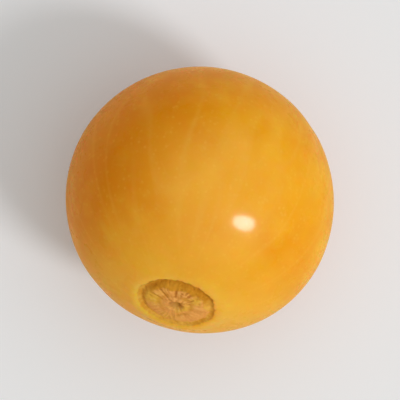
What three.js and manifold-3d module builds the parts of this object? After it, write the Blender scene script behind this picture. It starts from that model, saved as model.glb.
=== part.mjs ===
// A golden berry: the fruit of Physalis peruviana, taken out of its papery husk.
//
// The fruit is one solid, a slightly flattened ball about 20 mm across. It carries two marks of how
// it grew. At the stem end the husk and stalk have broken away and left a round scar: a low lip of
// skin, a sunken corky ring, a ribbed plate inside it, and a boss with a pit where the stalk's
// strands tore. At the opposite end the withered style has left a small pimple in a shallow dimple.
//
// The part's frame: +Z is up, and the origin is on the small flat that the ripe, soft berry rests on,
// straight below the fruit's middle. The berry lies on its side, with its stem end towards -Y and up.
// All lengths are in millimetres and all angles in radians.

import * as THREE from 'three';
import { mergeVertices } from 'three/addons/utils/BufferGeometryUtils.js';
import Module from 'manifold-3d';

const wasm = await Module();
wasm.setup();

// ---------------------------------------------------------------- driving dimensions

const EQUATOR_RADIUS = 9.95; // half the width, measured across the stem-to-tip axis
const POLE_RADIUS = 9.6; // half the length, measured along that axis
const SHOULDER_FULLNESS = 0.12; // how much broader the stem half is than the tip half
const STEM_TILT = THREE.MathUtils.degToRad(55); // from straight up to the stem axis
const REST_DEPTH = 0.22; // how deep the soft skin is pressed flat where the berry rests

// The fruit grew from two carpels, which leave it a little wider one way than the other, with a
// faint furrow down each of the two seams between them.
const CARPEL_WIDENING = 0.09;
const SEAM_TURN = 0.62; // where the first seam lies round the stem axis
const SEAM_DEPTH = 0.05;
const SEAM_HALF_WIDTH = 0.75;

// Broad swells, as on any ripened fruit: each is a wave of a given height along one direction.
const SWELLS = [
  { along: new THREE.Vector3(0.82, 0.49, 0.3).normalize(), waves: 2.3, phase: 0.7, height: 0.06 },
  { along: new THREE.Vector3(-0.38, 0.86, 0.35).normalize(), waves: 3.1, phase: 2.2, height: 0.045 },
  { along: new THREE.Vector3(0.25, -0.44, 0.86).normalize(), waves: 3.7, phase: 4.1, height: 0.035 },
];

// The stem scar. Each radius is measured along the skin from the middle of the scar.
const SCAR = {
  sink: { depth: 0.26, halfWidth: 3.9 }, // the broad dip round the whole scar
  lip: { radius: 3.35, halfWidth: 0.6, height: 0.12 }, // swollen skin that frames it
  ring: { radius: 2.62, halfWidth: 0.25, depth: 0.17 }, // corky groove where the husk parted
  plate: { radius: 1.7, halfWidth: 0.6, height: 0.05 }, // the raised band inside the ring
  boss: { radius: 0.66, halfWidth: 0.26, height: 0.1 }, // the rim of the stalk's own scar
  pit: { across: 0.12, up: -0.07, halfWidth: 0.4, depth: 0.3 }, // where the stalk's strands tore
};
const HUSK_VEINS = 10; // a husk has ten veins, and each leaves a rib across the plate
const RIB_HEIGHT = 0.03;
const RIB_STRAY = 1.4; // how unevenly the ribs are spaced, in radians of their wave
const HUSK_LOBES = 5; // and five lobes, between which the skin puckers
const PUCKER = { radius: 4.2, halfWidth: 1.3, height: 0.045 };
const OUT_OF_ROUND = 0.07; // how far the scar's outline strays, as a share of its radius
const UNEVENNESS = 0.45; // how much each mark's height varies on its way round

// The tip, where the style withered. Radii run along the skin from its middle.
const TIP = {
  dimple: { halfWidth: 1.5, depth: 0.1 },
  pimple: { halfWidth: 0.33, height: 0.2 },
};

// How finely the skin is divided: closely over the scar and the tip, and more widely between.
const MERIDIANS = 60;
const FINE_STEP = { scar: 0.17, tip: 0.15 };
const FINE_REACH = { scar: 3.2, tip: 0.7 };
const WIDEST_STEP = 1.0;
const STEP_GROWTH = 0.22; // how much the step widens for each millimetre away from a mark
const SAME_POINT = 1e-4; // points closer than this are one point

// ---------------------------------------------------------------- the shape of the skin

// A smooth bump of height 1 that has fallen to 0.37 at halfWidth.
const bell = (distance, halfWidth) => Math.exp(-((distance / halfWidth) ** 2));

// The plain fruit: an oblate spheroid, made fuller at the shoulders and narrower at the tip by the
// third Legendre polynomial.
function plainRadius(polar) {
  const c = Math.cos(polar);
  const spheroid = EQUATOR_RADIUS - (EQUATOR_RADIUS - POLE_RADIUS) * c * c;
  return spheroid - SHOULDER_FULLNESS * (5 * c ** 3 - 3 * c) / 2;
}

// The two carpels and the seams between them. They fade out towards both ends.
function carpels(polar, turn) {
  const acrossSeam = EQUATOR_RADIUS * Math.sin(polar) * Math.sin(turn - SEAM_TURN);
  const fade = Math.sin(polar) ** 2;
  const widening = -CARPEL_WIDENING * Math.cos(2 * (turn - SEAM_TURN));
  return fade * (widening - SEAM_DEPTH * bell(acrossSeam, SEAM_HALF_WIDTH));
}

function swells(direction) {
  return SWELLS.reduce(
    (sum, s) => sum + s.height * Math.sin(s.waves * s.along.dot(direction) + s.phase),
    0,
  );
}

// A slow, irregular wave round the stem axis, from about -1 to 1. Each start gives another one.
const wander = (turn, start) => 0.5 * Math.cos(turn + start)
  + 0.3 * Math.cos(2 * turn + 2.3 * start)
  + 0.2 * Math.cos(3 * turn + 4.1 * start);

// The stem scar's relief, at a distance along the skin from its middle and a turn round it.
function scarRelief(distance, turn) {
  const { sink, lip, ring, plate, boss, pit } = SCAR;
  const arc = distance / (1 + OUT_OF_ROUND * wander(turn, 1));
  const uneven = (start) => 1 + UNEVENNESS * wander(turn, start);
  const fromPit = Math.hypot(arc * Math.cos(turn) - pit.across, arc * Math.sin(turn) - pit.up);
  const rib = RIB_HEIGHT * uneven(4) * Math.cos(HUSK_VEINS * turn + RIB_STRAY * wander(turn, 7));
  const pucker = PUCKER.height * uneven(5) * Math.cos(HUSK_LOBES * turn);
  return lip.height * uneven(2) * bell(arc - lip.radius, lip.halfWidth)
    - ring.depth * uneven(3) * bell(arc - ring.radius, ring.halfWidth)
    + (plate.height + rib) * bell(arc - plate.radius, plate.halfWidth)
    + boss.height * uneven(6) * bell(arc - boss.radius, boss.halfWidth)
    - pit.depth * bell(fromPit, pit.halfWidth)
    + pucker * bell(arc - PUCKER.radius, PUCKER.halfWidth)
    - sink.depth * bell(arc, sink.halfWidth);
}

function tipRelief(arc) {
  const { dimple, pimple } = TIP;
  return pimple.height * bell(arc, pimple.halfWidth) - dimple.depth * bell(arc, dimple.halfWidth);
}

// The skin's distance from the fruit's middle in a direction, where +Z is the stem axis.
function skinRadius(direction) {
  const polar = Math.acos(THREE.MathUtils.clamp(direction.z, -1, 1));
  const turn = Math.atan2(direction.y, direction.x);
  return plainRadius(polar)
    + carpels(polar, turn)
    + swells(direction)
    + scarRelief(POLE_RADIUS * polar, turn)
    + tipRelief(POLE_RADIUS * (Math.PI - polar));
}

// ---------------------------------------------------------------- the solid

// Polar angles of the rings of points, from the stem end to the tip.
function ringAngles() {
  const length = Math.PI * POLE_RADIUS;
  const stepAt = (arc) => Math.min(
    WIDEST_STEP,
    FINE_STEP.scar + STEP_GROWTH * Math.max(0, arc - FINE_REACH.scar),
    FINE_STEP.tip + STEP_GROWTH * Math.max(0, length - arc - FINE_REACH.tip),
  );
  const arcs = [0];
  while (arcs.at(-1) < length) {
    arcs.push(arcs.at(-1) + stepAt(arcs.at(-1)));
  }
  const fit = Math.PI / arcs.at(-1);
  return arcs.map((arc) => arc * fit);
}

// The whole skin: a ball turned from its half outline, each point then set at its own distance.
function fruitGeometry() {
  const outline = ringAngles()
    .map((polar) => new THREE.Vector2(Math.sin(polar), -Math.cos(polar)))
    .map((p, i, all) => (i === 0 || i === all.length - 1 ? p.setX(0) : p));
  const ball = new THREE.LatheGeometry(outline, MERIDIANS).rotateX(-Math.PI / 2);
  const place = ball.getAttribute('position');
  const direction = new THREE.Vector3();
  for (let i = 0; i < place.count; i += 1) {
    direction.fromBufferAttribute(place, i).normalize();
    place.setXYZ(i, ...direction.multiplyScalar(skinRadius(direction)).toArray());
  }
  return ball;
}

// A closed geometry as a manifold-3d solid: only positions count, and shared points are merged.
function solidFrom(geometry) {
  const bare = new THREE.BufferGeometry();
  bare.setAttribute('position', geometry.getAttribute('position').clone());
  bare.setIndex(geometry.getIndex()?.clone() ?? null);
  const merged = mergeVertices(bare, SAME_POINT);
  return new wasm.Manifold(new wasm.Mesh({
    numProp: 3,
    vertProperties: merged.getAttribute('position').array,
    triVerts: Uint32Array.from(merged.getIndex().array),
  }));
}

function geometryFrom(solid) {
  const { vertProperties, triVerts } = solid.getMesh();
  const geometry = new THREE.BufferGeometry();
  geometry.setAttribute('position', new THREE.BufferAttribute(vertProperties, 3));
  geometry.setIndex(new THREE.BufferAttribute(triVerts, 1));
  geometry.computeVertexNormals();
  return geometry;
}

// The fruit laid on its side, lowered until its lowest point is REST_DEPTH under the surface, and
// cut level there, which leaves the flat that it rests on.
function restingBerry() {
  const fruit = fruitGeometry().rotateX(STEM_TILT);
  fruit.computeBoundingBox();
  fruit.translate(0, 0, -fruit.boundingBox.min.z - REST_DEPTH);
  const side = 4 * EQUATOR_RADIUS;
  const underSurface = new THREE.BoxGeometry(side, side, side).translate(0, 0, -side / 2);
  return geometryFrom(solidFrom(fruit).subtract(solidFrom(underSurface)));
}

const skin = new THREE.MeshStandardMaterial({ color: 0xe39a12, roughness: 0.28, metalness: 0 });
const berry = new THREE.Mesh(restingBerry(), skin);
berry.name = 'berry';

const part = new THREE.Group();
part.add(berry);

export default part;
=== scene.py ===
"""A golden berry (Physalis peruviana) out of its husk, dressed for the render.

The skin is made by the same formulas as the CAD solid, on a finer grid. On top of them come the forms
that are too small for the solid: the taut skin's slight unevenness, the fine wrinkles and the torn edge
round the stem scar, the scar's cork and fibres, and the withered stub of the style.

Shapes are worked out in millimetres, in the fruit's own frame: +Z is the stem axis and the origin is the
fruit's middle. Then the fruit is laid on its side and set down, and goes into Blender in metres.
"""

import math

import bpy
import numpy as np
from mathutils import Matrix, Vector, noise


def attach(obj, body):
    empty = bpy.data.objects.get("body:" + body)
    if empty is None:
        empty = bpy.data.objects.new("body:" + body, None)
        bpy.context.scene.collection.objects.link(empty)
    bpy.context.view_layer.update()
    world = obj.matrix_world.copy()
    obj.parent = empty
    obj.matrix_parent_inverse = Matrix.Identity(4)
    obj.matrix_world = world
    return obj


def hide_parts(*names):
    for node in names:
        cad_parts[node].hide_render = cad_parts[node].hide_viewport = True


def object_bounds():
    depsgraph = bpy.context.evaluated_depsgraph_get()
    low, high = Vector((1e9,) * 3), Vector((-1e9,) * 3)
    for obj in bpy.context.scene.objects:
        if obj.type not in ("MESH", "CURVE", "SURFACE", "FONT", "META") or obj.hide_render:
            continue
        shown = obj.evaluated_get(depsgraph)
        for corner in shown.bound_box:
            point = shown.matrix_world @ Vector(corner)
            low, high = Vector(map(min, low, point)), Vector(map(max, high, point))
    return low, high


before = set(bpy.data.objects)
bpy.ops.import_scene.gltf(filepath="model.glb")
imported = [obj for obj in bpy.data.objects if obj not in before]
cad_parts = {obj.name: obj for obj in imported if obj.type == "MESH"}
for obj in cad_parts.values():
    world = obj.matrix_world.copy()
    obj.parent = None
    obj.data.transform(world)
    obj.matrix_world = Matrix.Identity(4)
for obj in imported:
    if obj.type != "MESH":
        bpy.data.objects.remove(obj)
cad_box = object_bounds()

MM = 0.001  # in metres

# ---------------------------------------------------------------- the fruit, as in the CAD solid

EQUATOR_RADIUS = 9.95  # half the width, across the stem-to-tip axis
POLE_RADIUS = 9.6  # half the length, along that axis
SHOULDER_FULLNESS = 0.12  # how much broader the stem half is than the tip half
STEM_TILT = math.radians(55)  # from straight up to the stem axis
REST_DEPTH = 0.22  # how deep the soft skin is pressed flat where the berry rests

CARPEL_WIDENING = 0.09
SEAM_TURN = 0.62
SEAM_DEPTH = 0.05
SEAM_HALF_WIDTH = 0.75

# Broad swells: a direction, the waves along it, where they start, and their height.
SWELLS = (
    (Vector((0.82, 0.49, 0.3)), 2.3, 0.7, 0.06),
    (Vector((-0.38, 0.86, 0.35)), 3.1, 2.2, 0.045),
    (Vector((0.25, -0.44, 0.86)), 3.7, 4.1, 0.035),
)

# The stem scar. Radii run along the skin from its middle.
SINK_DEPTH, SINK_HALF_WIDTH = 0.26, 3.9
LIP_RADIUS, LIP_HALF_WIDTH, LIP_HEIGHT = 3.35, 0.6, 0.12
RING_RADIUS, RING_HALF_WIDTH, RING_DEPTH = 2.62, 0.25, 0.17
PLATE_RADIUS, PLATE_HALF_WIDTH, PLATE_HEIGHT = 1.7, 0.6, 0.05
BOSS_RADIUS, BOSS_HALF_WIDTH, BOSS_HEIGHT = 0.66, 0.26, 0.1
PIT_ACROSS, PIT_UP, PIT_HALF_WIDTH, PIT_DEPTH = 0.12, -0.07, 0.4, 0.3
HUSK_VEINS, RIB_HEIGHT, RIB_STRAY = 10, 0.03, 1.4
HUSK_LOBES = 5
PUCKER_RADIUS, PUCKER_HALF_WIDTH, PUCKER_HEIGHT = 4.2, 1.3, 0.045
OUT_OF_ROUND = 0.07
UNEVENNESS = 0.45

# The tip, where the style withered.
DIMPLE_HALF_WIDTH, DIMPLE_DEPTH = 1.5, 0.1
PIMPLE_HALF_WIDTH, PIMPLE_HEIGHT = 0.33, 0.2

# ---------------------------------------------------------------- forms too small for the solid

# Slight waves in the taut skin: a wavelength, a seed and a height. They fade out towards the scar.
SKIN_WAVES = ((3.2, 41, 0.014), (1.3, 42, 0.004))
WAVES_FADE = 3.0

# Streaks that run out from an end of the fruit: how many go round it, how long they are, and a seed.
LONG_BITES, SHORT_BITES = (14, 2.5, 11), (44, 1.0, 12)
WRINKLES, FIBRES = (52, 2.2, 21), (44, 1.1, 23)
TIP_WRINKLES, STUB_OUTLINE = (22, 2.0, 31), (9, 2.0, 33)

# Grain with no direction: a wavelength and a seed.
NICKS, SMALL_NICKS = (0.5, 13), (0.2, 14)
CORK_GRAIN, CORK_CRACKS = (0.3, 22), (0.75, 25)
PLATE_GRAIN, BOSS_GRAIN, STUB_GRAIN = (0.2, 26), (0.24, 24), (0.16, 32)

SCAR_EDGE = 2.92  # the torn skin ends here, at the scar's ring
TEAR, NICK = 0.12, 0.07  # how far the torn edge strays in and out, in bites and in nicks
SMALL_SHARE = 0.6  # how large the short bites and small nicks are beside the others
TEAR_HALF_WIDTH = 1.1
EDGE_DROP, EDGE_SHARPNESS, EDGE_CREVICE = 0.06, 0.025, 0.3  # the skin's own thickness, seen at its edge
WRINKLE_RADIUS, WRINKLE_HALF_WIDTH, WRINKLE_HEIGHT = 3.7, 0.75, 0.022
CORK_HALF_WIDTH, CORK_HEIGHT = 0.35, 0.05
CRACK_BREADTH, CRACK_DEPTH = 0.11, 0.06  # the breadth is in the noise's own units
FIBRE_HALF_WIDTH, FIBRE_HEIGHT, PLATE_ROUGHNESS = 0.75, 0.0225, 0.025
TORN_HALF_WIDTH, TORN_HEIGHT = 0.85, 0.09  # the torn middle of the scar

# The scars of the ten strands: their place and size, and how far they differ from each other.
STRAND_RADIUS, STRAND_HALF_WIDTH, STRAND_DEPTH = 2.1, 0.11, 0.06
STRAND_TURN_STRAY, STRAND_RADIUS_STRAY, STRAND_UNEVENNESS = 0.25, 0.16, 0.4

# The dry stub of the style, which stands on the pimple like a button, with a crevice round it.
STUB_EDGE, STUB_SHARPNESS, STUB_HEIGHT = 0.4, 0.03, 0.1
STUB_STRAY, STUB_ROUGHNESS = 0.08, 0.06  # how far its outline strays, and how rough its top is
STUB_CREVICE, STUB_CREVICE_DEPTH = 0.1, 0.06
TIP_WRINKLE_RADIUS, TIP_WRINKLE_HALF_WIDTH, TIP_WRINKLE_HEIGHT = 0.85, 0.4, 0.03

# The grid: meridians round the stem axis, and rings that are closest over the scar and the tip.
MERIDIANS = 360
SCAR_STEP, SCAR_REACH = 0.05, 4.1
TIP_STEP, TIP_REACH = 0.05, 1.0
WIDEST_STEP = 0.2
STEP_GROWTH = 0.04

REST_SOFTNESS = 0.06  # how gently the skin turns into the flat that it rests on


def bell(distance, half_width):
    """A smooth bump of height 1 that has fallen to 0.37 at half_width."""
    return np.exp(-((distance / half_width) ** 2))


def smooth_step(distance, sharpness):
    """Goes smoothly from 0 to 1 as the distance passes zero, over a few times the sharpness."""
    return 0.5 + 0.5 * np.tanh(distance / (2 * sharpness))


def wander(turn, start):
    """A slow, irregular wave round the stem axis. Each start gives another one."""
    return (0.5 * np.cos(turn + start)
            + 0.3 * np.cos(2 * turn + 2.3 * start)
            + 0.2 * np.cos(3 * turn + 4.1 * start))


def rough(points, wavelength, seed):
    """Smooth noise from about -1 to 1 at each point. Each seed gives another one."""
    start = Vector((seed, 3.1 * seed, -1.7 * seed))
    places = points.reshape(-1, 3) / wavelength
    values = [noise.noise(Vector(place) + start) for place in places]
    return np.array(values).reshape(points.shape[:-1])


def spokes(arc, turn, count, length, seed):
    """Noise in streaks that run out from an end of the fruit: about count round a turn."""
    radius = count / (2 * math.pi)
    across = np.broadcast_to(radius * np.cos(turn), arc.shape)
    up = np.broadcast_to(radius * np.sin(turn), arc.shape)
    return rough(np.stack([across, up, arc / length], axis=-1), 1.0, seed)


def ridges(noise_values):
    """Turns smooth noise into sharp ridges: 1 along a crest, and falling away on both sides of it."""
    return 1 - 4 * np.abs(noise_values)


def plain_radius(polar):
    """An oblate spheroid, made fuller at the shoulders and narrower at the tip."""
    c = np.cos(polar)
    spheroid = EQUATOR_RADIUS - (EQUATOR_RADIUS - POLE_RADIUS) * c * c
    return spheroid - SHOULDER_FULLNESS * (5 * c**3 - 3 * c) / 2


def carpels(polar, turn):
    """The two carpels and the seams between them. They fade out towards both ends."""
    across_seam = EQUATOR_RADIUS * np.sin(polar) * np.sin(turn - SEAM_TURN)
    widening = -CARPEL_WIDENING * np.cos(2 * (turn - SEAM_TURN))
    return np.sin(polar) ** 2 * (widening - SEAM_DEPTH * bell(across_seam, SEAM_HALF_WIDTH))


def swells(direction):
    """The broad swells that any ripened fruit has."""
    total = 0
    for along, waves, phase, height in SWELLS:
        total = total + height * np.sin(waves * (direction @ np.array(along.normalized())) + phase)
    return total


def scar_relief(arc, turn):
    """The solid's own relief at the stem end."""
    def uneven(start):
        return 1 + UNEVENNESS * wander(turn, start)

    from_pit = np.hypot(arc * np.cos(turn) - PIT_ACROSS, arc * np.sin(turn) - PIT_UP)
    rib = RIB_HEIGHT * uneven(4) * np.cos(HUSK_VEINS * turn + RIB_STRAY * wander(turn, 7))
    pucker = PUCKER_HEIGHT * uneven(5) * np.cos(HUSK_LOBES * turn)
    return (LIP_HEIGHT * uneven(2) * bell(arc - LIP_RADIUS, LIP_HALF_WIDTH)
            - RING_DEPTH * uneven(3) * bell(arc - RING_RADIUS, RING_HALF_WIDTH)
            + (PLATE_HEIGHT + rib) * bell(arc - PLATE_RADIUS, PLATE_HALF_WIDTH)
            + BOSS_HEIGHT * uneven(6) * bell(arc - BOSS_RADIUS, BOSS_HALF_WIDTH)
            - PIT_DEPTH * bell(from_pit, PIT_HALF_WIDTH)
            + pucker * bell(arc - PUCKER_RADIUS, PUCKER_HALF_WIDTH)
            - SINK_DEPTH * bell(arc, SINK_HALF_WIDTH))


def tip_relief(arc):
    """The solid's own relief at the tip."""
    return (PIMPLE_HEIGHT * bell(arc, PIMPLE_HALF_WIDTH)
            - DIMPLE_DEPTH * bell(arc, DIMPLE_HALF_WIDTH))


def scar_distance(arc, turn, points):
    """The distance from the scar's middle, bent so that its edges are out of round and torn."""
    bites = TEAR * (spokes(arc, turn, *LONG_BITES) + SMALL_SHARE * spokes(arc, turn, *SHORT_BITES))
    nicks = NICK * (rough(points, *NICKS) + SMALL_SHARE * rough(points, *SMALL_NICKS))
    torn = (bites + nicks) * bell(arc - RING_RADIUS, TEAR_HALF_WIDTH)
    return arc / (1 + OUT_OF_ROUND * wander(turn, 1)) + torn


def strand_scars(arc, turn):
    """The ten pits left in the plate by the strands that fed the husk, no two alike."""
    total = 0
    for i in range(HUSK_VEINS):
        at = (i + 0.5 + STRAND_TURN_STRAY * math.sin(5 * i)) * 2 * math.pi / HUSK_VEINS
        radius = STRAND_RADIUS + STRAND_RADIUS_STRAY * math.sin(7 * i + 2)
        depth = 1 - STRAND_UNEVENNESS + STRAND_UNEVENNESS * math.sin(3 * i + 1)
        away = np.hypot(arc * np.cos(turn) - radius * math.cos(at),
                        arc * np.sin(turn) - radius * math.sin(at))
        total = total + depth * bell(away, STRAND_HALF_WIDTH)
    return total


def fine_scar_relief(arc, turn, points):
    """The scar's grain and the fine wrinkles round it, laid over the solid's relief."""
    skin = smooth_step(arc - SCAR_EDGE, EDGE_SHARPNESS)
    inside = 1 - skin
    wrinkles = WRINKLE_HEIGHT * spokes(arc, turn, *WRINKLES) * skin
    cork = (CORK_HEIGHT * rough(points, *CORK_GRAIN)
            - CRACK_DEPTH * bell(rough(points, *CORK_CRACKS), CRACK_BREADTH))
    fibres = (FIBRE_HEIGHT * ridges(spokes(arc, turn, *FIBRES))
              + PLATE_ROUGHNESS * rough(points, *PLATE_GRAIN))
    torn = TORN_HEIGHT * rough(points, *BOSS_GRAIN)
    return (wrinkles * bell(arc - WRINKLE_RADIUS, WRINKLE_HALF_WIDTH)
            - EDGE_DROP * inside * bell(arc - SCAR_EDGE, EDGE_CREVICE)
            + cork * bell(arc - RING_RADIUS, CORK_HALF_WIDTH) * inside
            + fibres * bell(arc - PLATE_RADIUS, FIBRE_HALF_WIDTH) * inside
            - STRAND_DEPTH * strand_scars(arc, turn)
            + torn * bell(arc, TORN_HALF_WIDTH))


def fine_tip_relief(arc, turn, points):
    """The wrinkles round the tip, and the dry stub of the style on it."""
    wrinkles = TIP_WRINKLE_HEIGHT * spokes(arc, turn, *TIP_WRINKLES)
    edge = STUB_EDGE + STUB_STRAY * spokes(arc, turn, *STUB_OUTLINE)
    stub = STUB_HEIGHT + STUB_ROUGHNESS * rough(points, *STUB_GRAIN)
    return (wrinkles * bell(arc - TIP_WRINKLE_RADIUS, TIP_WRINKLE_HALF_WIDTH)
            - STUB_CREVICE_DEPTH * bell(arc - edge - STUB_CREVICE, STUB_CREVICE)
            + stub * smooth_step(edge - arc, STUB_SHARPNESS))


def skin_waves(points, arc):
    """The slight unevenness of taut skin, away from the scar."""
    total = 0
    for wavelength, seed, height in SKIN_WAVES:
        total = total + height * rough(points, wavelength, seed)
    return total * (1 - bell(arc, WAVES_FADE))


def ring_angles():
    """Polar angles of the rings of points, from the stem end to the tip."""
    length = math.pi * POLE_RADIUS
    arcs = [0.0]
    while arcs[-1] < length:
        past_scar = max(0, arcs[-1] - SCAR_REACH)
        past_tip = max(0, length - arcs[-1] - TIP_REACH)
        step = min(WIDEST_STEP, SCAR_STEP + STEP_GROWTH * past_scar, TIP_STEP + STEP_GROWTH * past_tip)
        arcs.append(arcs[-1] + step)
    return np.array(arcs) * math.pi / arcs[-1]


def set_down(points):
    """Lays the fruit on its side and lowers it, and flattens what would be under the surface."""
    x, y, z = points[..., 0], points[..., 1], points[..., 2]
    c, s = math.cos(STEM_TILT), math.sin(STEM_TILT)
    y, z = y * c - z * s, y * s + z * c
    z = z - z.min() - REST_DEPTH
    z = (z + np.hypot(z, REST_SOFTNESS)) / 2
    return np.stack([x, y, z], axis=-1)


def grid_faces(rings, around):
    """Faces of a closed grid: one point at each end and rings of points between."""
    last = (rings - 2) * around + 1
    faces = []
    for j in range(around):
        k = (j + 1) % around
        faces.append((0, 1 + j, 1 + k))
        faces.append((last, last - around + k, last - around + j))
        for i in range(rings - 3):
            near, far = 1 + i * around, 1 + (i + 1) * around
            faces.append((near + j, far + j, far + k, near + k))
    return faces


def grid_points(values):
    """One row a point: the two ends once, and each ring between them."""
    flat = values[1:-1].reshape(-1, *values.shape[2:])
    return np.concatenate([values[:1, 0], flat, values[-1:, 0]])


def store(mesh, name, kind, values):
    """Keeps a value at each point, for the material to read."""
    layer = mesh.attributes.new(name, kind, "POINT")
    layer.data.foreach_set("vector" if kind == "FLOAT_VECTOR" else "value",
                           np.ascontiguousarray(values, dtype=np.float32).ravel())


def make_berry():
    """The whole skin as one closed mesh, with what the material reads kept at its points."""
    polar = ring_angles()[:, None]
    turn = np.linspace(-math.pi, math.pi, MERIDIANS, endpoint=False)[None, :]
    direction = np.stack(np.broadcast_arrays(np.sin(polar) * np.cos(turn),
                                             np.sin(polar) * np.sin(turn),
                                             np.cos(polar)), axis=-1)
    points = direction * POLE_RADIUS
    from_stem = np.broadcast_to(POLE_RADIUS * polar, direction.shape[:2])
    from_tip = POLE_RADIUS * math.pi - from_stem
    from_scar = scar_distance(from_stem, turn, points)
    fine_relief = (fine_scar_relief(from_scar, turn, points)
                   + fine_tip_relief(from_tip, turn, points))
    radius = (plain_radius(polar) + carpels(polar, turn) + swells(direction)
              + scar_relief(from_scar, turn) + tip_relief(from_tip)
              + skin_waves(points, from_stem) + fine_relief)
    placed = set_down(direction * radius[..., None])
    mesh = bpy.data.meshes.new("golden_berry")
    mesh.from_pydata(grid_points(placed) * MM, [], grid_faces(len(polar), MERIDIANS))
    mesh.polygons.foreach_set("use_smooth", [True] * len(mesh.polygons))
    scar_map = np.stack([from_scar * np.cos(turn), from_scar * np.sin(turn), from_stem], axis=-1)
    store(mesh, "scar_map", "FLOAT_VECTOR", grid_points(scar_map))
    store(mesh, "fruit_place", "FLOAT_VECTOR", grid_points(points))
    store(mesh, "from_tip", "FLOAT", grid_points(from_tip))
    store(mesh, "fine_relief", "FLOAT", grid_points(fine_relief))
    berry = bpy.data.objects.new("golden_berry", mesh)
    bpy.context.scene.collection.objects.link(berry)
    return berry


# ---------------------------------------------------------------- materials


def srgb(red, green, blue):
    """A colour given as it looks on a screen, 0 to 255, in the linear values that shaders take."""
    def linear(value):
        share = value / 255
        return share / 12.92 if share <= 0.04045 else ((share + 0.055) / 1.055) ** 2.4
    return (linear(red), linear(green), linear(blue), 1)


GOLD = srgb(236, 175, 18)
DEEP_ORANGE = srgb(232, 160, 8)
# Deeper orange on one side: partly riper skin, partly painted shade on the side away from the key light.
BLUSH_AND_SHADE = srgb(221, 127, 4)
YELLOW = srgb(242, 187, 40)
# Paler near the stem, as the real fruit is, and paler still there as painted light.
STEM_END = srgb(246, 196, 70)
PALE_VEIN = srgb(250, 202, 84)
PALE_SEED = srgb(250, 192, 60)
PALE_SPECK = srgb(252, 208, 84)
SCUFF = srgb(150, 92, 30)
# The lip's colour: paler torn skin, and a painted highlight on the raised lip.
LIP = srgb(246, 190, 88)
TORN_EDGE = srgb(166, 108, 26)
CORK = srgb(196, 130, 26)
CORK_LIGHT = srgb(220, 156, 48)
DRY_SKIN = srgb(240, 190, 84)
PLATE_PINK = srgb(240, 172, 90)
PLATE_GOLD = srgb(234, 182, 66)
# Painted shade for the plate's hollows, and painted light for its crests.
PLATE_HOLLOW_SHADE = srgb(184, 116, 44)
PLATE_CREST_LIGHT = srgb(246, 198, 120)
PIT = srgb(142, 92, 38)
STYLE = srgb(104, 66, 30)
STYLE_LIGHT = srgb(160, 108, 52)
TIP_RING = srgb(226, 168, 58)
FLOOR = srgb(240, 243, 249)
WARM_BOUNCE = srgb(238, 196, 138)

# Sizes, spacings and lengths are in millimetres. Most brackets below are for Graph.rise: two values of a
# noise or a distance, between which something comes up. Where there are four numbers, the last two say
# how strongly it shows at each of the two values. For branches, seeds, specks and scuffs, the distance
# is in shares of their spacing. A stray is two lengths: how far an edge strays in and out with the
# skin's patches, and with its grain.

NOISE_MIDDLE = 0.5  # the value about which a noise texture varies
GRAIN_SIZE, PATCH_SIZE = 0.15, 0.8

# The skin.
CLOUD_SIZE, CLOUD_RANGE = 7.5, (0.36, 0.66)
SMALL_CLOUD_SIZE, SMALL_CLOUD_RANGE = 2.6, (0.46, 0.76, 0, 0.6)
BLUSH_AND_SHADE_SIDE = (-0.9, 0.3, -0.3)  # the way, from the fruit's middle, to the deeper orange side: partly riper skin, partly painted shade on the side away from the key light
BLUSH_AND_SHADE_RANGE = (0.1, 0.95, 0, 0.7)
# The stem end is yellower, as in the real fruit, and also paler as painted light where the skin by the
# scar is lit.
STEM_END_RANGE, STEM_END_CLOUDS = (3.0, 10.5, 0.85, 0), (0.2, 0.7, 0.5, 1)
PAST_STEM_END, PAST_TIP = (3.4, 6.0), (0.8, 5.0)  # where veins and seeds come up
VEIN_COUNT, VEIN_LENGTH, VEIN_SHARE = 22, 14.0, 0.15
VEIN_BREADTH = 0.045  # in the noise's own units
BRANCH_SPACING, BRANCH_RANGE, BRANCH_GAPS, BRANCH_SHARE = 1.9, (0, 0.07, 1, 0), (0.45, 0.65), 0.1
SEED_SPACING, SEED_RANGE, SEED_SHARE = 2.1, (0.2, 0.5, 1, 0), 0.14
SPECK_SPACING, SPECK_RANGE, SPECK_PATCHES = 0.42, (0.12, 0.34, 1, 0), (0.35, 0.65, 0.06, 0.26)
SCUFF_SPACING, SCUFF_RANGE, SCUFF_SHARE = 3.4, (0.08, 0.13, 1, 0), 0.6
SCUFF_CHOICE, SCUFF_FRAYING = (0.86, 0.88), 0.1  # few of the places have one, and its edge is frayed
PAST_SCAR = (5, 6)  # where scuffs come up

# The zones of the scar, from the outside inwards.
# The pale lip is partly paler skin and partly a painted highlight on the raised lip.
PALE_LIP_MIDDLE, PALE_LIP_BREADTH, PALE_LIP_PATCHES = SCAR_EDGE + 0.2, 0.75, (0.3, 0.6, 0.1, 0.4)
SKIN_EDGE_SOFTNESS, SKIN_EDGE_STRAY = 0.03, (0.0, 0.03)
TORN_EDGE_MIDDLE, TORN_EDGE_BREADTH = SCAR_EDGE - 0.06, 0.1
# The scar's shaded side: there the cork, the torn edge and the plate's hollows get painted shade.
SHADED_SIDE, SHADED_SIDE_RANGE = (0.05, 1.0, 0), (0.0, 0.7)  # the way to the side where the cork is dark
TORN_EDGE_SHADE_SIDES = (0, 1, 0.1, 0.6)  # from the light side to the dark one
CORK_PATCHES, CORK_FLECKS = (0.38, 0.62, 1, 0.35), (0.42, 0.7, 0, 0.5)
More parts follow.
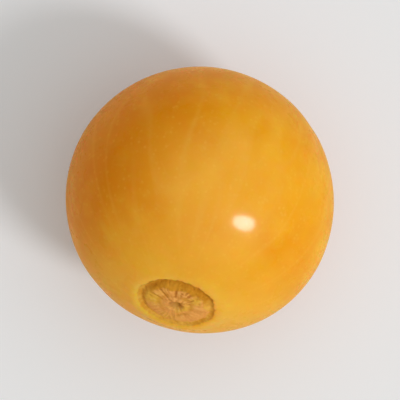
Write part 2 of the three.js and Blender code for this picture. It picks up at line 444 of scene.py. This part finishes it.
# Painted shade: the cork reaches further in on the scar's shaded side.
CORK_SPREAD = 0.4  # how much further in the cork reaches on its dark side
PLATE_END, PLATE_END_SOFTNESS, PLATE_END_STRAY = 2.41, 0.13, (0.6, 0.25)
PLATE_PATCH_SIZE, PLATE_PATCHES = 1.7, (0.4, 0.6)
PLATE_GRAIN_HEIGHT = 0.06  # what the grain adds to the height that the plate's colour follows
# Painted shade in the plate's hollows, stronger on the shaded side, and painted light on its crests.
HOLLOW_SHADE_HEIGHTS, HOLLOW_SHADE_SIDES = (-0.03, 0.01, 0.85, 0), (0, 1, 0.2, 1)
CREST_LIGHT_HEIGHTS = (0.005, 0.04, 0, 0.5)
GROOVE_MIDDLE, GROOVE_BREADTH, GROOVE_STRAY = 1.25, 0.3, (0.25, 0.12)
GROOVE_PATCHES = (0.35, 0.6, 0.1, 0.5)
PIT_END, PIT_END_SOFTNESS, PIT_END_STRAY, PIT_SHARE = 0.49, 0.17, (0.15, 0.2), 0.5

# The tip.
TIP_RING_RANGE = (STUB_EDGE, 0.9, 0.9, 0)
STUB_EDGE_SOFTNESS, STUB_EDGE_STRAY, STUB_FLECKS = 0.06, (0.1, 0.08), (0.45, 0.6)
STUB_DRY_END, STUB_DRY_SOFTNESS = STUB_EDGE + 0.1, 0.1

# The finish. Light wanders far in the flesh: red light crosses much of the fruit, and glows on its
# shaded side.
SCATTER_LENGTH = 7.5
SCATTER_SHARES = (1.0, 0.22, 0.05)  # of that length, for red, green and blue
DRY_SCATTER = 0.05  # how translucent the dry parts are, where moist skin is 1
GLOSS_SIZE, GLOSS_ROUGHNESS = 1.6, (0.35, 0.7, 0.24, 0.4)
DRY_ROUGHNESS = 0.78
COAT_WEIGHT, COAT_ROUGHNESS, COAT_IOR = 0.5, 0.12, 1.5
SKIN_IOR, SKIN_SPECULAR = 1.42, 0.12
PEEL_SIZE, PEEL_SHARE = 0.45, 0.3
BUMP_STRENGTH, BUMP_DEPTH = 0.35, 0.03
FLOOR_ROUGHNESS = 0.7


class Graph:
    """Shader nodes by short calls. Each call takes numbers, colours or outputs, and gives an output."""

    MIX_FIRST, MIX_SECOND, MIX_RESULT = 6, 7, 2  # the sockets of a Mix node that carry colours

    def __init__(self, tree):
        self.tree = tree

    def node(self, kind, values=None, **settings):
        made = self.tree.nodes.new(kind)
        for name, value in settings.items():
            setattr(made, name, value)
        for name, value in (values or {}).items():
            self.feed(made.inputs[name], value)
        return made

    def feed(self, socket, value):
        if isinstance(value, bpy.types.NodeSocket):
            self.tree.links.new(value, socket)
        else:
            socket.default_value = value

    def attribute(self, name, output="Vector"):
        return self.node("ShaderNodeAttribute", attribute_name=name).outputs[output]

    def math(self, operation, first, second=0.0):
        return self.node("ShaderNodeMath", {0: first, 1: second}, operation=operation).outputs[0]

    def vector(self, operation, values, output="Vector"):
        return self.node("ShaderNodeVectorMath", values, operation=operation).outputs[output]

    def unit(self, vector):
        return self.vector("NORMALIZE", {0: vector})

    def dot(self, first, second):
        return self.vector("DOT_PRODUCT", {0: first, 1: second}, "Value")

    def split(self, vector):
        return self.node("ShaderNodeSeparateXYZ", {0: vector}).outputs

    def noise(self, place, wavelength, detail=2.0, roughness=0.5):
        values = {"Vector": place, "Scale": 1 / wavelength, "Detail": detail, "Roughness": roughness}
        return self.node("ShaderNodeTexNoise", values).outputs["Fac"]

    def cells(self, place, wavelength, output="Distance"):
        """Scattered places: the distance to the nearest one, or the colour drawn for it."""
        values = {"Vector": place, "Scale": 1 / wavelength}
        return self.node("ShaderNodeTexVoronoi", values).outputs[output]

    def edges(self, place, wavelength):
        """The distance to the nearest line of a net of about so many millimetres a mesh."""
        values = {"Vector": place, "Scale": 1 / wavelength}
        return self.node("ShaderNodeTexVoronoi", values, feature="DISTANCE_TO_EDGE").outputs[0]

    def rise(self, value, low, high, least=0.0, most=1.0, curve="SMOOTHSTEP"):
        """Goes smoothly from least, at low, to most, at high."""
        values = {"Value": value, "From Min": low, "From Max": high, "To Min": least, "To Max": most}
        return self.node("ShaderNodeMapRange", values, interpolation_type=curve).outputs[0]

    def band(self, value, middle, half_width):
        """1 at middle, falling smoothly to 0 at half_width from it."""
        away = self.math("ABSOLUTE", self.math("SUBTRACT", value, middle))
        return self.rise(away, 0, half_width, 1, 0)

    def within(self, value, edge, softness):
        """1 below an edge and 0 above it, with a smooth change over softness on both sides of it."""
        return self.rise(value, edge - softness, edge + softness, 1, 0)

    def times(self, *values):
        total = values[0]
        for value in values[1:]:
            total = self.math("MULTIPLY", total, value)
        return total

    def plus(self, *values):
        total = values[0]
        for value in values[1:]:
            total = self.math("ADD", total, value)
        return total

    def mix(self, share, first, second):
        """first where share is 0 and second where it is 1, for two colours."""
        made = self.node("ShaderNodeMix", {"Factor": share}, data_type="RGBA")
        self.feed(made.inputs[self.MIX_FIRST], first)
        self.feed(made.inputs[self.MIX_SECOND], second)
        return made.outputs[self.MIX_RESULT]


class SkinPlace:
    """Where a point of the skin is, as outputs that the colours and the finish read."""

    def __init__(self, g):
        self.graph = g
        apart = g.split(g.attribute("scar_map"))
        flat = g.node("ShaderNodeCombineXYZ", {0: apart["X"], 1: apart["Y"]}).outputs[0]
        self.place = g.attribute("fruit_place")
        self.from_tip = g.attribute("from_tip", "Fac")
        self.fine_relief = g.attribute("fine_relief", "Fac")
        self.from_stem = apart["Z"]
        self.arc = g.vector("LENGTH", {0: flat}, "Value")
        self.heading = g.unit(flat)
        self.grain = g.noise(self.place, GRAIN_SIZE, detail=4, roughness=0.6)
        self.patches = g.noise(self.place, PATCH_SIZE, detail=3)

    def streaks(self, count, length):
        """Noise in streaks that run from the stem end to the tip, about count round a turn."""
        g = self.graph
        spread = g.vector("SCALE", {0: self.heading, "Scale": count / (2 * math.pi)})
        along = g.node("ShaderNodeCombineXYZ", {2: g.math("DIVIDE", self.from_stem, length)}).outputs[0]
        return g.noise(g.vector("ADD", {0: spread, 1: along}), 1.0, detail=1)

    def ragged(self, distance, coarse, fine):
        """A distance that strays by so many millimetres, so that a zone's edge is ragged."""
        g = self.graph
        stray = g.plus(g.times(g.math("SUBTRACT", self.patches, NOISE_MIDDLE), 2 * coarse),
                       g.times(g.math("SUBTRACT", self.grain, NOISE_MIDDLE), 2 * fine))
        return g.plus(distance, stray)


def skin_colour(g, at):
    """Soft clouds of deeper and yellower orange, with pale veins, seeds and specks showing through. A
    deeper orange side is partly riper skin and partly painted shade, and the paler stem end is partly
    its own colour and partly painted light.
    """
    clouds = g.noise(at.place, CLOUD_SIZE, detail=3)
    colour = g.mix(g.rise(clouds, *CLOUD_RANGE), DEEP_ORANGE, GOLD)
    small_clouds = g.noise(at.place, SMALL_CLOUD_SIZE, detail=4, roughness=0.6)
    colour = g.mix(g.rise(small_clouds, *SMALL_CLOUD_RANGE), colour, YELLOW)
    # Deeper orange towards one side: partly riper skin, partly painted shade on the side away from the
    # key light.
    blush_and_shade = g.rise(g.dot(g.unit(at.place), BLUSH_AND_SHADE_SIDE), *BLUSH_AND_SHADE_RANGE)
    colour = g.mix(blush_and_shade, colour, BLUSH_AND_SHADE)
    # Yellower towards the stem, partly the fruit's own colour and partly painted light.
    near_scar = g.rise(at.from_stem, *STEM_END_RANGE)
    colour = g.mix(g.times(near_scar, g.rise(clouds, *STEM_END_CLOUDS)), colour, STEM_END)

    away_from_ends = g.times(g.rise(at.from_stem, *PAST_STEM_END), g.rise(at.from_tip, *PAST_TIP))
    veins = g.band(at.streaks(VEIN_COUNT, VEIN_LENGTH), NOISE_MIDDLE, VEIN_BREADTH)
    colour = g.mix(g.times(veins, away_from_ends, VEIN_SHARE), colour, PALE_VEIN)
    branches = g.rise(g.edges(at.place, BRANCH_SPACING), *BRANCH_RANGE)
    broken = g.rise(at.patches, *BRANCH_GAPS)
    colour = g.mix(g.times(branches, broken, away_from_ends, BRANCH_SHARE), colour, PALE_VEIN)

    seeds = g.rise(g.cells(at.place, SEED_SPACING), *SEED_RANGE)
    colour = g.mix(g.times(seeds, away_from_ends, SEED_SHARE), colour, PALE_SEED)
    specks = g.rise(g.cells(at.place, SPECK_SPACING), *SPECK_RANGE)
    return g.mix(g.times(specks, g.rise(at.patches, *SPECK_PATCHES)), colour, PALE_SPECK)


def add_scuffs(g, at, colour):
    """A few small brown scuffs: only some of the scattered places have one."""
    from_place, drawn = g.cells(at.place, SCUFF_SPACING), g.cells(at.place, SCUFF_SPACING, "Color")
    chosen = g.rise(g.node("ShaderNodeSeparateColor", {0: drawn}).outputs[0], *SCUFF_CHOICE)
    mark = g.rise(g.plus(from_place, g.times(at.grain, SCUFF_FRAYING)), *SCUFF_RANGE)
    away_from_scar = g.rise(at.from_stem, *PAST_SCAR)
    return g.mix(g.times(mark, chosen, away_from_scar, SCUFF_SHARE), colour, SCUFF)


def add_scar(g, at, colour):
    """The scar, from the pale lip of torn skin inwards, with a painted highlight on the lip and painted
    shade on one side of the scar. Also gives how much of a point lies in it.
    """
    skin_edge = at.ragged(at.arc, *SKIN_EDGE_STRAY)
    # The lip is paler torn skin, paled further as a painted highlight on its raised crest.
    lip_and_highlight = g.times(g.band(skin_edge, PALE_LIP_MIDDLE, PALE_LIP_BREADTH),
                  g.rise(at.patches, *PALE_LIP_PATCHES))
    colour = g.mix(lip_and_highlight, colour, LIP)
    inside = g.within(skin_edge, SCAR_EDGE, SKIN_EDGE_SOFTNESS)

    # The cork is brown, and darker still on the scar's shaded side as painted shade. It fades to the
    # colour of dry skin on the lit side.
    shaded_side = g.rise(g.dot(at.heading, SHADED_SIDE), *SHADED_SIDE_RANGE)
    light_cork = g.mix(shaded_side, DRY_SKIN, CORK_LIGHT)
    cork = g.mix(g.rise(at.patches, *CORK_PATCHES), light_cork, g.mix(shaded_side, CORK_LIGHT, CORK))
    cork = g.mix(g.rise(at.grain, *CORK_FLECKS), cork, light_cork)
    colour = g.mix(inside, colour, cork)
    # The torn edge is brown, and darker on the scar's shaded side as painted shade.
    torn = g.times(g.band(skin_edge, TORN_EDGE_MIDDLE, TORN_EDGE_BREADTH),
                   g.rise(shaded_side, *TORN_EDGE_SHADE_SIDES))
    colour = g.mix(torn, colour, TORN_EDGE)

    # The plate is pink and gold in patches. Its hollows get painted shade, more so on the scar's shaded
    # side, and its crests get painted light.
    plate = g.mix(g.rise(g.noise(at.place, PLATE_PATCH_SIZE), *PLATE_PATCHES), PLATE_GOLD, PLATE_PINK)
    grain_height = g.times(g.math("SUBTRACT", at.grain, NOISE_MIDDLE), PLATE_GRAIN_HEIGHT)
    height = g.plus(at.fine_relief, grain_height)
    hollow_shade = g.times(g.rise(height, *HOLLOW_SHADE_HEIGHTS), g.rise(shaded_side, *HOLLOW_SHADE_SIDES))
    plate = g.mix(hollow_shade, plate, PLATE_HOLLOW_SHADE)
    plate = g.mix(g.rise(height, *CREST_LIGHT_HEIGHTS), plate, PLATE_CREST_LIGHT)
    plate_edge = g.plus(at.ragged(at.arc, *PLATE_END_STRAY), g.times(shaded_side, CORK_SPREAD))
    colour = g.mix(g.within(plate_edge, PLATE_END, PLATE_END_SOFTNESS), colour, plate)

    groove = g.band(at.ragged(at.arc, *GROOVE_STRAY), GROOVE_MIDDLE, GROOVE_BREADTH)
    colour = g.mix(g.times(groove, g.rise(at.patches, *GROOVE_PATCHES)), colour, CORK)
    pit = g.within(at.ragged(at.arc, *PIT_END_STRAY), PIT_END, PIT_END_SOFTNESS)
    return g.mix(g.times(pit, PIT_SHARE), colour, PIT), inside


def add_style_stub(g, at, colour):
    """The dry stub of the style, in a ring of tan skin. Also gives how dry a point is."""
    edge = at.ragged(at.from_tip, *STUB_EDGE_STRAY)
    colour = g.mix(g.rise(edge, *TIP_RING_RANGE), colour, TIP_RING)
    stub = g.mix(g.rise(at.grain, *STUB_FLECKS), STYLE, STYLE_LIGHT)
    colour = g.mix(g.within(edge, STUB_EDGE, STUB_EDGE_SOFTNESS), colour, stub)
    return colour, g.within(edge, STUB_DRY_END, STUB_DRY_SOFTNESS)


def new_material(name):
    """A material with nodes, the graph that they are made in, and its shader's inputs."""
    material = bpy.data.materials.new(name)
    material.use_nodes = True
    tree = material.node_tree
    return material, Graph(tree), tree.nodes["Principled BSDF"].inputs


def skin_material():
    """Glossy, translucent skin, and dry, matt cork on the scar and on the stub of the style."""
    material, g, shader = new_material("golden_berry_skin")
    at = SkinPlace(g)
    colour = add_scuffs(g, at, skin_colour(g, at))
    colour, in_scar = add_scar(g, at, colour)
    colour, in_stub = add_style_stub(g, at, colour)
    dry = g.math("MAXIMUM", in_scar, in_stub)
    moist = g.math("SUBTRACT", 1, dry)

    g.feed(shader["Base Color"], colour)
    gloss = g.rise(g.noise(at.place, GLOSS_SIZE, detail=5, roughness=0.6), *GLOSS_ROUGHNESS)
    g.feed(shader["Roughness"], g.math("MAXIMUM", gloss, g.times(dry, DRY_ROUGHNESS)))
    g.feed(shader["Coat Weight"], g.times(moist, COAT_WEIGHT))
    g.feed(shader["Subsurface Weight"], g.plus(DRY_SCATTER, g.times(moist, 1 - DRY_SCATTER)))
    shader["Coat Roughness"].default_value = COAT_ROUGHNESS
    shader["Coat IOR"].default_value = COAT_IOR
    shader["IOR"].default_value = SKIN_IOR
    shader["Specular IOR Level"].default_value = SKIN_SPECULAR
    shader["Subsurface Radius"].default_value = SCATTER_SHARES
    shader["Subsurface Scale"].default_value = SCATTER_LENGTH * MM

    peel = g.noise(at.place, PEEL_SIZE, detail=2)
    height = g.plus(g.times(peel, moist, PEEL_SHARE), g.times(at.grain, dry))
    values = {"Height": height, "Strength": BUMP_STRENGTH, "Distance": BUMP_DEPTH * MM}
    bump = g.node("ShaderNodeBump", values)
    g.feed(shader["Normal"], bump.outputs[0])
    g.feed(shader["Coat Normal"], bump.outputs[0])
    return material


def floor_material():
    """A pale floor. The light that it throws back on the fruit is warm, as among other ripe berries."""
    material, g, shader = new_material("pale_floor")
    seen = g.node("ShaderNodeLightPath").outputs["Is Camera Ray"]
    g.feed(shader["Base Color"], g.mix(seen, WARM_BOUNCE, FLOOR))
    g.feed(shader["Roughness"], FLOOR_ROUGHNESS)
    return material


# ---------------------------------------------------------------- camera, light and floor

CAMERA_LENS = 150  # millimetres, on Blender's 36 mm sensor
CAMERA_TURN = math.radians(13)  # turns the picture so that the scar points down and to the left
FRAME_WIDTH = 0.0295  # metres across the picture at the berry's widest level
NEAREST_SEEN = 0.001  # metres from the camera

# Where a light lies: to the right and up in the picture, and how many degrees from overhead.
KEY_PLACE = (0.836, -0.548, 45)
KEY_DISTANCE = 2.0  # metres
KEY_SIZE = (0.66, 0.42)  # across and up the picture, in metres
KEY_ROLL = math.radians(-22)
KEY_WATTS = 14.2
KEY_COLOUR = (1.0, 0.985, 0.96)
GLOW_PLACE = (0.98, 0.18, 25)
GLOW_EDGE = 0.2  # the cosine of the angle where it starts
GLOW_LIGHT = (0.86, 0.86, 0.86, 1)
FILL_LIGHT = (0.34, 0.33, 0.24, 1)
SIDE_LIGHT = (0.22, 0.15, 0.08, 1)  # from low all round, as thrown back by other ripe berries
SIDE_TOP = 0.55  # the sine of the height where the side light ends
BACKGROUND = (0.85, 0.85, 0.85, 1)

FLOOR_REACH = 1.5  # metres, from under the fruit to each side


def make_camera():
    """Looks straight down on the berry."""
    data = bpy.data.cameras.new("camera")
    data.lens = CAMERA_LENS
    data.clip_start = NEAREST_SEEN
    low, high = cad_box
    middle = (low + high) / 2
    away = FRAME_WIDTH * CAMERA_LENS / data.sensor_width
    camera = bpy.data.objects.new("camera", data)
    camera.location = (middle.x, middle.y, middle.z + away)
    camera.rotation_euler = (0, 0, CAMERA_TURN)
    bpy.context.scene.collection.objects.link(camera)
    bpy.context.scene.camera = camera


def direction_to(right, up, lean):
    """The way to a light. right and up say where it lies in the picture, lean how far from overhead."""
    flat = Vector((right, up, 0)).normalized()
    c, s = math.cos(CAMERA_TURN), math.sin(CAMERA_TURN)
    heading = Vector((flat.x * c - flat.y * s, flat.x * s + flat.y * c, 0))
    return heading * math.sin(math.radians(lean)) + Vector((0, 0, math.cos(math.radians(lean))))


def make_key_light():
    """One soft light from the side, which makes the highlight and the shade."""
    data = bpy.data.lights.new("key", "AREA")
    data.shape = "ELLIPSE"
    data.size, data.size_y = KEY_SIZE
    data.energy = KEY_WATTS
    data.color = KEY_COLOUR
    away = direction_to(*KEY_PLACE)
    picture_right = Vector((math.cos(CAMERA_TURN), math.sin(CAMERA_TURN), 0))
    up = away.cross(picture_right).normalized()
    turned = Matrix((up.cross(away), up, away)).transposed().to_4x4()
    turned = turned @ Matrix.Rotation(KEY_ROLL, 4, "Z")
    low, high = cad_box
    light = bpy.data.objects.new("key", data)
    light.matrix_world = Matrix.Translation((low + high) / 2 + away * KEY_DISTANCE) @ turned
    bpy.context.scene.collection.objects.link(light)


def make_world():
    """Soft light: a broad glow above, dim warm light from low all round, and a fill between them."""
    world = bpy.data.worlds.new("studio")
    world.use_nodes = True
    g = Graph(world.node_tree)
    way = g.node("ShaderNodeTexCoord").outputs["Generated"]
    glow = g.rise(g.dot(way, direction_to(*GLOW_PLACE)), GLOW_EDGE, 1, curve="SMOOTHERSTEP")
    low = g.rise(g.split(way)["Z"], 0, SIDE_TOP, 1, 0)
    light = g.mix(glow, g.mix(low, FILL_LIGHT, SIDE_LIGHT), GLOW_LIGHT)
    seen = g.node("ShaderNodeLightPath").outputs["Is Camera Ray"]
    g.feed(g.tree.nodes["Background"].inputs["Color"], g.mix(seen, light, BACKGROUND))
    bpy.context.scene.world = world
    bpy.context.scene.view_settings.view_transform = "Standard"


def make_floor():
    """The plain floor that the berry rests on."""
    corners = [(-1, -1, 0), (1, -1, 0), (1, 1, 0), (-1, 1, 0)]
    mesh = bpy.data.meshes.new("floor")
    mesh.from_pydata([Vector(corner) * FLOOR_REACH for corner in corners], [], [(0, 1, 2, 3)])
    mesh.materials.append(floor_material())
    floor = bpy.data.objects.new("floor", mesh)
    bpy.context.scene.collection.objects.link(floor)


# ---------------------------------------------------------------- the scene

make_camera()
make_key_light()
make_world()
make_floor()

berry = make_berry()
berry.data.materials.append(skin_material())
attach(berry, "root")
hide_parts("berry")
